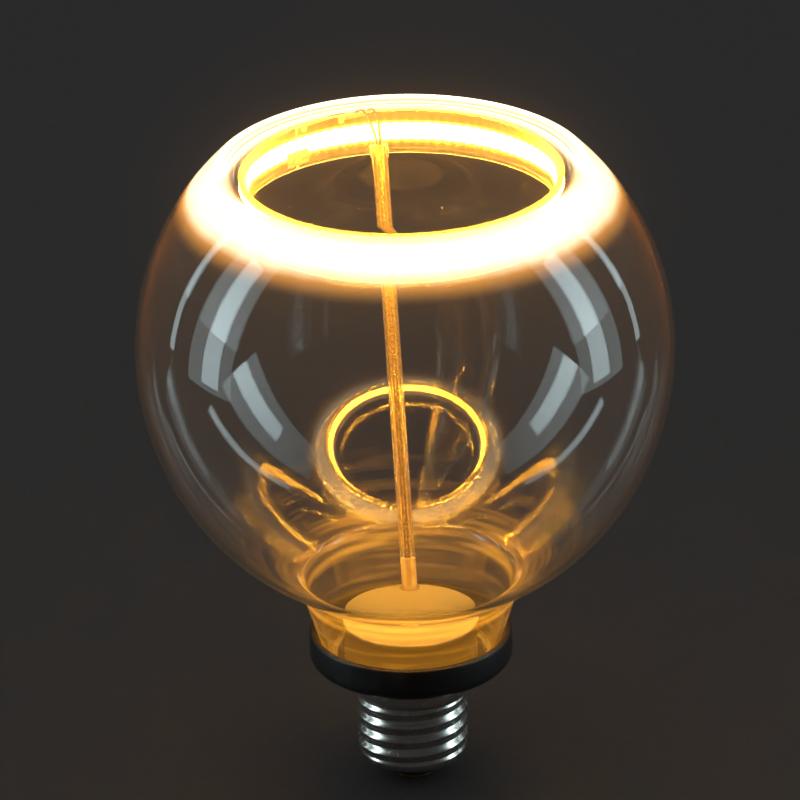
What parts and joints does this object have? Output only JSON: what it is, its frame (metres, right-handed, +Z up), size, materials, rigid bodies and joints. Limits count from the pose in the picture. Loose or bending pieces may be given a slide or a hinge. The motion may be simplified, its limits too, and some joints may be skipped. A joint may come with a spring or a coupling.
{
  "type": "led globe bulb",
  "caption": "Clear glass globe bulb with a flat top, lit by a clear ring of small light chips that a slanting clear tube holds inside the globe, on a screw cap.",
  "frame": {"origin": "centre of the solder tip's flat underside, where the cap touches the socket's centre contact", "axes": "+Z up along the bulb's axis from the cap to the flat top, -Y towards the viewer, the support tube's foot on the +Y side"},
  "size_m": [0.125, 0.125, 0.155],
  "materials": {
    "clear_glass": "polished clear",
    "clear_band": "clear, glossy",
    "pale_adhesive": "crinkled, cured adhesive",
    "flexible_circuit": "glossy film",
    "chip_package": "matte",
    "phosphor": "lit, warm amber",
    "tinned_metal": "tinned",
    "red_wire": "enamelled",
    "dark_wire": "enamelled",
    "clear_tube": "clear",
    "clear_adhesive": "clear, cured adhesive",
    "frosted_plastic": "frosted",
    "white_plastic": "satin white",
    "board_laminate": "green lacquer",
    "capacitor_sleeve": "shrunk sleeve",
    "ferrite": "matte",
    "winding_wire": "enamelled copper",
    "black_epoxy": "moulded",
    "capacitor_coat": "dipped",
    "varistor_coat": "dipped",
    "resistor_coat": "lacquered",
    "chip_ceramic": "glazed",
    "tinned_wire": "tinned",
    "silicone": "soft white",
    "collar_plastic": "satin black",
    "nickel_plate": "nickel plated",
    "black_insulator": "glossy black",
    "contact_brass": "stamped",
    "solder": "solder"
  },
  "bodies": {
    "root": {"globe_glass": "clear_glass", "ring_band": "clear_band", "band_bond": "pale_adhesive", "led_circuit": "flexible_circuit", "led_packages": "chip_package", "led_phosphors": "phosphor", "wire_eyelets": "tinned_metal", "ring_wire_left": "red_wire", "ring_wire_right": "dark_wire", "support_tube": "clear_tube", "tube_saddle": "clear_adhesive", "tube_peg": "frosted_plastic", "driver_cover": "white_plastic", "driver_housing": "white_plastic", "circuit_board": "board_laminate", "storage_capacitor": "capacitor_sleeve", "inductor_core": "ferrite", "inductor_winding": "winding_wire", "bridge_rectifier": "black_epoxy", "driver_chips": "black_epoxy", "film_capacitor": "capacitor_coat", "surge_varistor": "varistor_coat", "fuse_resistor": "resistor_coat", "chip_resistors": "chip_ceramic", "contact_wire": "tinned_wire", "shell_wire": "tinned_wire", "neck_seal": "silicone", "neck_collar": "collar_plastic", "cap_shell": "nickel_plate", "cap_insulator": "black_insulator", "centre_contact": "contact_brass", "contact_solder": "solder"}
  },
  "joints": []
}
